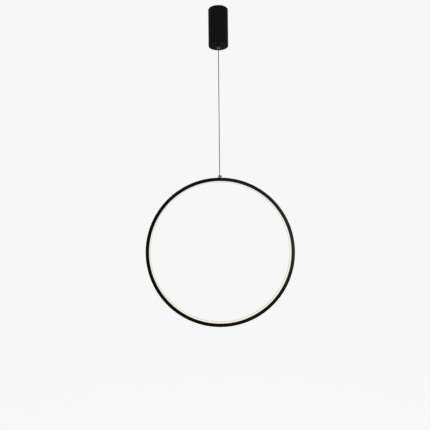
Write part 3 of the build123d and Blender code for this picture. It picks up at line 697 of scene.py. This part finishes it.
@dataclass
class Turning:
    """A closed outline turned round an axis, with its edges rounded.

    The outline's points are (radius, level), and the level runs along the axis from the centre.
    An angle of a ring that faces the front runs from its top to the left.
    """

    name: str
    outline: list[Span]
    centre: Vector
    axis: Axis = Axis.Z
    stations: int = 96
    start: float = 0.0
    sweep: float = math.tau
    edge_round: float = 0.2 * MILLIMETRE
    edge_steps: int = 3

    def radius_at(self, radius: float, station: int) -> float:
        """Return an outline point's radius at a station, the same all round here."""
        return radius

    def angle_at(self, station: int) -> float:
        """Return the angle that a station stands at."""
        return self.start + self.sweep * station / self.stations

    def place(self, radius: float, level: float, angle: float) -> Vector:
        """Turn an outline point to an angle.

        Args:
            radius: its distance from the axis.
            level: its place along the axis.
            angle: the angle.

        Returns:
            The point in the frame.
        """
        across, up = radius * math.sin(angle), radius * math.cos(angle)
        offsets = {
            Axis.X: (level, across, up),
            Axis.Y: (-across, -level, up),
            Axis.Z: (across, up, level),
        }
        return self.centre + Vector(offsets[self.axis])

    def skin(self) -> tuple[list[Vector], list[tuple[int, ...]]]:
        """Turn the outline, with end faces where the turn is open.

        Returns:
            The vertices and the faces.
        """
        whole = math.isclose(self.sweep, math.tau)
        rows = self.stations if whole else self.stations + 1
        count = len(self.outline)
        vertices = [
            self.place(self.radius_at(radius, row), level, self.angle_at(row))
            for row in range(rows)
            for radius, level in self.outline
        ]
        faces = []
        for station in range(self.stations):
            here, there = station * count, (station + 1) % rows * count
            for corner in range(count):
                after = (corner + 1) % count
                faces.append((here + corner, here + after, there + after, there + corner))
        if not whole:
            faces.append(tuple(range(count)))
            faces.append(tuple(range(self.stations * count, rows * count)))
        return vertices, faces

    def build(self) -> bpy.types.Object:
        """Make the piece, with its normals outward and its sharp edges rounded.

        Returns:
            The piece.
        """
        mesh = bpy.data.meshes.new(self.name)
        vertices, faces = self.skin()
        mesh.from_pydata(vertices, [], faces)
        shape = bmesh.new()
        shape.from_mesh(mesh)
        bmesh.ops.recalc_face_normals(shape, faces=shape.faces)
        shape.to_mesh(mesh)
        shape.free()
        mesh.shade_smooth()
        piece = bpy.data.objects.new(self.name, mesh)
        bpy.context.scene.collection.objects.link(piece)
        rounding = piece.modifiers.new("edge_round", "BEVEL")
        rounding.width = self.edge_round
        rounding.segments = self.edge_steps
        rounding.limit_method = "ANGLE"
        rounding.harden_normals = True
        return piece


@dataclass
class Knurl(Turning):
    """A thin sleeve with straight ridges, for a rim that fingers turn."""

    ridge_depth: float = 0.25 * MILLIMETRE

    def radius_at(self, radius: float, station: int) -> float:
        """Return the radius of an outline point, lower between the ridges on the outside."""
        outside = radius == max(point[0] for point in self.outline)
        return radius - self.ridge_depth if outside and station % 2 else radius


# ------------------------------------------------------------------ sub-assemblies
@dataclass
class SubAssembly:
    """Rigid pieces of the frame that belong together, each with its finish."""

    title: str
    finishes: dict[str, Finish] = field(default_factory=dict)

    def build(self) -> None:
        """Make the pieces that the frame doesn't have, where there are any."""

    def add(self, piece: bpy.types.Object, finish: Finish, body: str, node: str = "") -> None:
        """Dress a new piece and tie it to a body.

        Args:
            piece: the new piece.
            finish: its finish.
            body: the body that it moves with.
            node: the node of the frame that it stands for, if any.
        """
        finish.dress(piece)
        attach(piece, body)
        if node:
            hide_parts(node)
        LOG.info("%s: made %s with the finish %s", self.title, piece.name, finish.name)

    def dress(self) -> None:
        """Put its finish on each piece and report it."""
        for node, finish in self.finishes.items():
            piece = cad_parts[node]
            finish.dress(piece)
            LOG.info("%s: %s has the finish %s", self.title, node, finish.name)


@dataclass
class Canopy(SubAssembly):
    """The ceiling plate, the cup over it, and the driver and wiring between them."""

    title: str = "canopy"

    def __post_init__(self) -> None:
        """Give each of the canopy's pieces its finish."""
        self.finishes = {
            "ceiling_plate": ZINC,
            "cable_grommet": RUBBER,
            "canopy_shell": CANOPY_PAINT,
            "side_screws": BLACK_SCREW,
            "driver_bracket": ZINC,
            "bracket_screws": ZINC,
            "led_driver": DRIVER_CASE,
            "driver_screws": ZINC,
            "terminal_block": TERMINAL_PLASTIC,
            "terminal_screws": BRASS,
            "block_screw": ZINC,
            "earth_lug": ZINC,
            "earth_screw": BRASS,
            "earth_lead": EARTH_SHEATH,
            "live_lead": LIVE_SHEATH,
            "neutral_lead": NEUTRAL_SHEATH,
            "inner_cable": CABLE_SHEATH,
        }


@dataclass
class Gripper(SubAssembly):
    """The adjustable cable gripper in the canopy's floor."""

    title: str = "gripper"
    collar_radius: float = 6.5 * MILLIMETRE
    collar_levels: Span = (-154.0 * MILLIMETRE, -150.6 * MILLIMETRE)
    ridges: int = 40
    ridge_height: float = 0.3 * MILLIMETRE
    ridge_round: float = 0.06 * MILLIMETRE
    wire: float = 0.6 * MILLIMETRE
    wire_sides: int = 10
    turns: int = 3
    turn_steps: int = 32

    def __post_init__(self) -> None:
        """Give each of the gripper's pieces its finish."""
        self.finishes = {
            "gripper_body": GRIPPER_METAL,
            "gripper_cap": GRIPPER_METAL,
            "gripper_nut": ZINC,
            "release_plunger": GRIPPER_METAL,
            "gripper_jaws": STAINLESS,
        }

    def build_spring(self) -> None:
        """Make the round-wire spring over the jaws, as a rigid coil; the real one shortens when the
        nose is pressed in.
        """
        low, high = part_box("gripper_spring")
        radius = (high.x - low.x - self.wire) / 2
        foot, head = low.z + self.wire / 2, high.z - self.wire / 2
        steps = self.turns * self.turn_steps
        points = []
        for step in range(steps + 1):
            angle = math.tau * step / self.turn_steps
            level = foot + (head - foot) * step / steps
            points.append(Vector((radius * math.cos(angle), radius * math.sin(angle), level)))
        spring = tube("round_wire_spring", points, self.wire / 2, self.wire_sides)
        self.add(spring, SPRING_STEEL, "canopy", "gripper_spring")
        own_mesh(spring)

    def build(self) -> None:
        """Make the spring, and the knurled rim of the collar that fingers hold."""
        self.build_spring()
        low, high = self.collar_levels
        outer = self.collar_radius + self.ridge_height
        inner = self.collar_radius - self.ridge_height
        rim = Knurl(
            "collar_knurl",
            [(inner, low), (outer, low), (outer, high), (inner, high)],
            Vector(),
            stations=2 * self.ridges,
            edge_round=self.ridge_round,
        )
        self.add(rim.build(), GRIPPER_METAL, "canopy")


@dataclass
class Swivel(SubAssembly):
    """The barrel on top of the ring and what it holds."""

    title: str = "swivel"
    head_length: float = 3.0 * MILLIMETRE
    rim_margin: float = 0.5 * MILLIMETRE
    ridges: int = 18
    ridge_height: float = 0.2 * MILLIMETRE
    ridge_round: float = 0.05 * MILLIMETRE

    def __post_init__(self) -> None:
        """Give each of the swivel's pieces its finish."""
        self.finishes = {
            "cable_ferrule": STAINLESS,
            "swivel_barrel": STAINLESS,
            "lock_screw": STAINLESS,
            "hanger_washer": RUBBER,
            "hanger_stud": ZINC,
        }

    def build(self) -> None:
        """Make the knurled rim of the lock screw's head."""
        low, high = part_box("lock_screw")
        head = (high.z - low.z) / 2
        near, far = high.x - self.head_length + self.rim_margin, high.x - self.rim_margin
        outer, inner = head + self.ridge_height, head - self.ridge_height
        rim = Knurl(
            "lock_screw_knurl",
            [(inner, near), (outer, near), (outer, far), (inner, far)],
            Vector((0.0, 0.0, (low.z + high.z) / 2)),
            Axis.X,
            stations=2 * self.ridges,
            edge_round=self.ridge_round,
        )
        self.add(rim.build(), STAINLESS, "ring")


@dataclass
class LitRing(SubAssembly):
    """The rolled profile, its joint, and the light source behind its diffuser."""

    title: str = "ring"
    thickness: float = 14.0 * MILLIMETRE
    bed_depth: float = 8.5 * MILLIMETRE  # of the strip's bed, from the outside
    flange_wall: float = 1.5 * MILLIMETRE
    profile_round: float = 0.4 * MILLIMETRE
    seam: float = 0.2 * MILLIMETRE
    seam_offset: float = 9.0 * MILLIMETRE  # from the top, along the outside
    cover_recess: float = 0.4 * MILLIMETRE
    cover_wall: float = 1.6 * MILLIMETRE
    cover_leg: float = 1.2 * MILLIMETRE
    cover_play: float = 0.1 * MILLIMETRE
    cover_round: float = 0.3 * MILLIMETRE
    leg_play: float = 0.3 * MILLIMETRE
    stations: int = 240
    cover_colour: Colour = (0.92, 0.9, 0.78)
    board_colour: Colour = (0.85, 0.85, 0.83)
    centre: Vector = field(init=False)
    radius: float = field(init=False)
    half_depth: float = field(init=False)

    def __post_init__(self) -> None:
        """Measure the ring in the frame, and give each of its pieces its finish."""
        low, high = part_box("ring_channel")
        self.centre = (low + high) / 2
        self.radius = (high.x - low.x) / 2
        self.half_depth = (high.y - low.y) / 2
        self.finishes = {
            "joiner_plate": MILL_ALUMINIUM,
            "joiner_screws": ZINC,
            "ring_leads": CORE_SHEATH,
            "led_strip": PaddedBoard(
                "white_board", "strip_board", self.board_colour, centre_height=self.centre.z
            ),
            "led_chips": CHIP_GEL,
        }

    def turned(self, name: str, half: list[Span], rounding: float) -> bpy.types.Object:
        """Make a piece turned round the ring, but for the narrow joint beside its top.

        Args:
            name: the piece's name.
            half: (radius, depth) points of the front half of its outline.
            rounding: how far its edges are rounded.

        Returns:
            The piece.
        """
        back = [(radius, -depth) for radius, depth in reversed(half)]
        gap = self.seam / self.radius
        turning = Turning(
            name,
            half + back,
            self.centre,
            Axis.Y,
            stations=self.stations,
            start=self.seam_offset / self.radius + gap / 2,
            sweep=math.tau - gap,
            edge_round=rounding,
        )
        return turning.build()

    def build(self) -> None:
        """Make the rolled profile and its opal cover, smooth all round."""
        lip, bed = self.radius - self.thickness, self.radius - self.bed_depth
        depth, inside = self.half_depth, self.half_depth - self.flange_wall
        profile = [(self.radius, depth), (lip, depth), (lip, inside), (bed, inside)]
        channel = self.turned("rolled_profile", profile, self.profile_round)
        self.add(channel, RING_PAINT, "ring", "ring_channel")
        face, leg = lip + self.cover_recess, bed - self.leg_play
        side = inside - self.cover_play
        leg_side, back = side - self.cover_leg, face + self.cover_wall
        outline = [(face, side), (leg, side), (leg, leg_side), (back, leg_side)]
        cover = self.turned("opal_cover", outline, self.cover_round)
        opal = OpalGlow("lit_opal", "opal", self.cover_colour, centre_height=self.centre.z)
        self.add(cover, opal, "ring", "diffuser")


@dataclass
class HangingCord:
    """The taut cable from the gripper's nose to the ferrule, as one smooth tube."""

    diameter: float = 3 * MILLIMETRE
    sides: int = 24
    steps: int = 12
    order: int = 3  # of the route's spline
    straight: float = 6.0  # diameters from an end to the next point of the route

    def route(self) -> list[Vector]:
        """Find the route's points, from the nose's mouth down to the ferrule's foot.

        Returns:
            The points.
        """
        low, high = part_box("suspension_cable")
        step = self.straight * self.diameter
        levels = (high.z, high.z - step, low.z + step, low.z)
        return [Vector((0.0, 0.0, level)) for level in levels]

    def centreline(self) -> list[Vector]:
        """Read points from a spline along the route.

        Returns:
            The points, from the top down.
        """
        curve = bpy.data.curves.new("cord_route", "CURVE")
        curve.dimensions = "3D"
        curve.resolution_u = self.steps
        route = self.route()
        spline = curve.splines.new("NURBS")
        spline.points.add(len(route) - 1)
        for point, place in zip(spline.points, route):
            point.co = place.to_4d()
        spline.order_u = self.order
        spline.use_endpoint_u = True
        holder = bpy.data.objects.new("cord_route", curve)
        bpy.context.scene.collection.objects.link(holder)
        bpy.context.view_layer.update()
        mesh = bpy.data.meshes.new_from_object(holder)
        points = [vertex.co.copy() for vertex in mesh.vertices]
        bpy.data.objects.remove(holder)
        bpy.data.curves.remove(curve)
        bpy.data.meshes.remove(mesh)
        return points

    def build(self) -> None:
        """Make the cable, dress it, and tie it to the frame."""
        points = self.centreline()
        piece = tube("hanging_cord", points, self.diameter / 2, self.sides)
        CABLE_SHEATH.dress(piece)
        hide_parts("suspension_cable")
        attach(piece, "canopy")
        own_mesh(piece)


# ------------------------------------------------------------------ studio
@dataclass(frozen=True)
class Lamp:
    """A soft square lamp aimed at the object."""

    name: str
    place: Vector
    size: float
    power: float

    def build(self, target: Vector) -> None:
        """Make the lamp and turn it towards a point.

        Args:
            target: the point.
        """
        light = bpy.data.lights.new(self.name, "AREA")
        light.size = self.size
        light.energy = self.power
        lamp = bpy.data.objects.new(self.name, light)
        lamp.location = self.place
        lamp.rotation_euler = (target - self.place).to_track_quat("-Z", "Y").to_euler()
        lamp.visible_camera = False
        bpy.context.scene.collection.objects.link(lamp)


KEY_LAMP = Lamp("key_lamp", Vector((1.0, -3.4, -0.8)), size=1.1, power=50.0)
FILL_LAMP = Lamp("fill_lamp", Vector((-2.4, -1.6, -0.4)), size=1.8, power=12.0)
BACK_LAMP = Lamp("back_lamp", Vector((0.6, 2.6, 0.2)), size=1.6, power=8.0)


@dataclass
class Studio:
    """A pale floor, a pale surround, three soft lamps and the camera."""

    lamps: tuple[Lamp, ...] = (KEY_LAMP, FILL_LAMP, BACK_LAMP)
    paper: Colour = (0.93, 0.93, 0.93)
    surround_light: float = 0.75
    floor_level: float = -2.4
    floor_radius: float = 9.0
    floor_sides: int = 96
    floor_albedo: float = 0.08
    floor_light: float = 0.8  # how much of white reaches the open floor
    floor_grain: float = 4 * MILLIMETRE
    floor_shades: Span = (0.97, 1.03)
    image_side: float = 430.0
    focal_pixels: float = 433.1
    axis_pixel: Span = (215.0, 231.7)
    sensor: float = 36.0
    camera_place: Vector = field(default_factory=lambda: Vector((-0.053, -1.7567, 0.083)))
    yaw: float = -0.0182
    roll: float = 0.0097

    def seen(self, graph: Graph) -> Socket:
        """Tell what the camera, a reflection or a transparent piece sees from the rest.

        Args:
            graph: the graph that asks.

        Returns:
            1 for what is seen, else 0.
        """
        path = graph.add("ShaderNodeLightPath").outputs
        direct = graph.math("MAXIMUM", path["Is Camera Ray"], path["Is Glossy Ray"])
        return graph.math("MAXIMUM", direct, path["Is Transmission Ray"])

    def build_surround(self) -> None:
        """Make the surround: pale where it is seen, and a plain level of light elsewhere."""
        world = bpy.data.worlds.new("surround")
        bpy.context.scene.world = world
        graph = Graph(world, "ShaderNodeOutputWorld")
        strength = graph.ranged(self.seen(graph), (self.surround_light, 1.0))
        light = graph.add("ShaderNodeBackground", Color=rgba(self.paper), Strength=strength)
        graph.finish(light.outputs[0])

    def paint_floor(self) -> bpy.types.Material:
        """Make the floor's paper, as pale as the surround where it is seen and open.

        Returns:
            The material.
        """
        material = bpy.data.materials.new("floor_paper")
        graph = Graph(material)
        level = 1 - self.floor_albedo * self.floor_light
        strength = graph.math("MULTIPLY", self.seen(graph), level)
        glow = graph.add("ShaderNodeEmission", Color=rgba(self.paper), Strength=strength)
        grey = (self.floor_albedo,) * len(self.paper)
        colour = graph.shaded(graph.noise(self.floor_grain), grey, self.floor_shades)
        matt = graph.add("ShaderNodeBsdfDiffuse", Color=colour)
        both = graph.add("ShaderNodeAddShader", n0=glow.outputs[0], n1=matt.outputs[0])
        graph.finish(both.outputs[0])
        return material

    def build_floor(self) -> None:
        """Make a round pale floor that keeps the object's shadow."""
        angles = [math.tau * index / self.floor_sides for index in range(self.floor_sides)]
        radius, level = self.floor_radius, self.floor_level
        vertices = [(radius * math.cos(angle), radius * math.sin(angle), level) for angle in angles]
        mesh = bpy.data.meshes.new("studio_floor")
        mesh.from_pydata(vertices, [], [tuple(range(self.floor_sides))])
        mesh.materials.append(self.paint_floor())
        floor = bpy.data.objects.new("studio_floor", mesh)
        bpy.context.scene.collection.objects.link(floor)

    def build_camera(self) -> None:
        """Make the camera at the photograph's place, turned and shifted as it was."""
        camera = bpy.data.cameras.new("camera")
        camera.sensor_width = self.sensor
        camera.lens = self.focal_pixels / self.image_side * camera.sensor_width
        camera.shift_x = (self.image_side / 2 - self.axis_pixel[0]) / self.image_side
        camera.shift_y = (self.axis_pixel[1] - self.image_side / 2) / self.image_side
        holder = bpy.data.objects.new("camera", camera)
        low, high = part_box("ring_channel")
        place = Matrix.Translation((low + high) / 2 + self.camera_place)
        upright = Matrix.Rotation(math.pi / 2, MATRIX_SIZE, "X")
        yaw = Matrix.Rotation(self.yaw, MATRIX_SIZE, "Z")
        roll = Matrix.Rotation(self.roll, MATRIX_SIZE, "Y")
        holder.matrix_world = place @ (yaw @ roll) @ upright
        bpy.context.scene.collection.objects.link(holder)
        bpy.context.scene.camera = holder

    def build(self) -> None:
        """Make the lamps, surround, floor and camera."""
        bpy.context.scene.view_settings.view_transform = "Standard"
        low, high = CAD_BOX
        for lamp in self.lamps:
            lamp.build((low + high) / 2)
        self.build_surround()
        self.build_floor()
        self.build_camera()
        LOG.info("studio: %d lamps, floor at %.2f m", len(self.lamps), self.floor_level)


def main() -> None:
    """Make the studio and the cable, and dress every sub-assembly."""
    logging.basicConfig(level=logging.INFO, format="%(name)s: %(message)s")
    Studio().build()
    HangingCord().build()
    for part in (Canopy(), Gripper(), Swivel(), LitRing()):
        part.build()
        part.dress()


if __name__ == "__main__":
    main()
